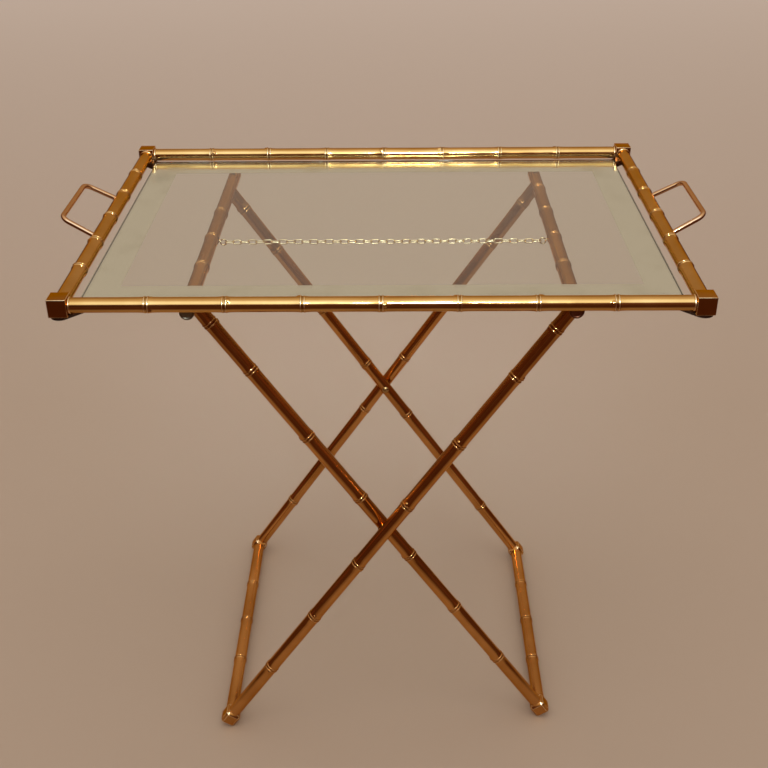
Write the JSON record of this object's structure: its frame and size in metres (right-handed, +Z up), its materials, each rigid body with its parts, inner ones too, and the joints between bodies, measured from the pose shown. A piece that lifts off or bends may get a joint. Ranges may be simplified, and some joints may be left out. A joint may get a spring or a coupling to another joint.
{
  "type": "folding tray table",
  "caption": "Glass tray with a mirror border and two raised handles, framed in brass tube ringed like bamboo, on a folding crossed stand held by a chain.",
  "frame": {"origin": "on the floor, under the middle of the tray", "axes": "+X right along the tray's long side, +Y to the back, +Z up"},
  "size_m": [0.748, 0.5, 0.654],
  "materials": {
    "brass": "polished",
    "handle_brass": "polished",
    "block_brass": "polished",
    "tab_brass": "polished",
    "cap_brass": "lightly tarnished",
    "chain_brass": "polished",
    "fixings": "satin",
    "glass": "clear, polished",
    "silvering": "lightly aged"
  },
  "bodies": {
    "outer_base": {"outer_bottom_bar": "brass"},
    "outer_frame": {"outer_front_leg": "brass", "outer_back_leg": "brass", "outer_front_foot": "block_brass", "outer_back_foot": "block_brass", "right_top_bar": "brass", "right_bar_caps": "cap_brass", "right_chain_eye": "chain_brass"},
    "inner_frame": {"inner_front_leg": "brass", "inner_back_leg": "brass", "inner_front_foot": "block_brass", "inner_back_foot": "block_brass", "left_top_bar": "brass", "left_bar_caps": "cap_brass", "inner_bottom_bar": "brass", "left_chain_eye": "chain_brass"},
    "pivot_pins": {"front_pivot_pin": "fixings", "back_pivot_pin": "fixings", "pivot_washers": "fixings"},
    "tray": {"front_rail": "brass", "back_rail": "brass", "left_rail": "brass", "right_rail": "brass", "corner_block_front_left": "block_brass", "corner_tab_front_left": "tab_brass", "corner_block_front_right": "block_brass", "corner_tab_front_right": "tab_brass", "corner_block_back_left": "block_brass", "corner_tab_back_left": "tab_brass", "corner_block_back_right": "block_brass", "corner_tab_back_right": "tab_brass", "tab_screws": "fixings", "glass_panel": "glass", "mirror_border": "silvering", "handle_left": "handle_brass", "handle_right": "handle_brass"},
    "chain_left": {"chain_left_half": "chain_brass"},
    "chain_right": {"chain_right_half": "chain_brass"}
  },
  "joints": [
    {"name": "outer_frame_tilt", "type": "hinge", "parent": "outer_base", "child": "outer_frame", "pos_m": [-0.20392, -0.026, 0.01221], "axis": [0, -1, 0], "range_deg": [0, 30]},
    {"name": "legs_cross", "type": "hinge", "parent": "outer_frame", "child": "inner_frame", "pos_m": [0, -0.026, 0.31058], "axis": [0, 1, 0], "range_deg": [0, 60]},
    {"name": "pins_level", "type": "hinge", "parent": "outer_frame", "child": "pivot_pins", "pos_m": [0, -0.026, 0.31058], "axis": [0, 1, 0], "range_deg": [0, 30]},
    {"name": "tray_lift", "type": "slide", "parent": "pivot_pins", "child": "tray", "axis": [0, 0, 1], "range_m": [0, 0.108]},
    {"name": "chain_left_hang", "type": "hinge", "parent": "inner_frame", "child": "chain_left", "pos_m": [-0.19084, -0.026, 0.60395], "axis": [0, 1, 0], "range_deg": [0, 60], "deforming": ["chain_left_half"]},
    {"name": "chain_right_hang", "type": "hinge", "parent": "outer_frame", "child": "chain_right", "pos_m": [0.19084, -0.026, 0.60395], "axis": [0, -1, 0], "range_deg": [0, 60], "deforming": ["chain_right_half"]}
  ],
  "couplings": [
    {"joint": "outer_frame_tilt", "follows": "legs_cross", "ratio": 0.5},
    {"joint": "pins_level", "follows": "legs_cross", "ratio": 0.5},
    {"joint": "tray_lift", "follows": "legs_cross", "m_per_rad": 0.1025},
    {"joint": "chain_left_hang", "follows": "legs_cross", "ratio": 1},
    {"joint": "chain_right_hang", "follows": "legs_cross", "ratio": 1}
  ]
}
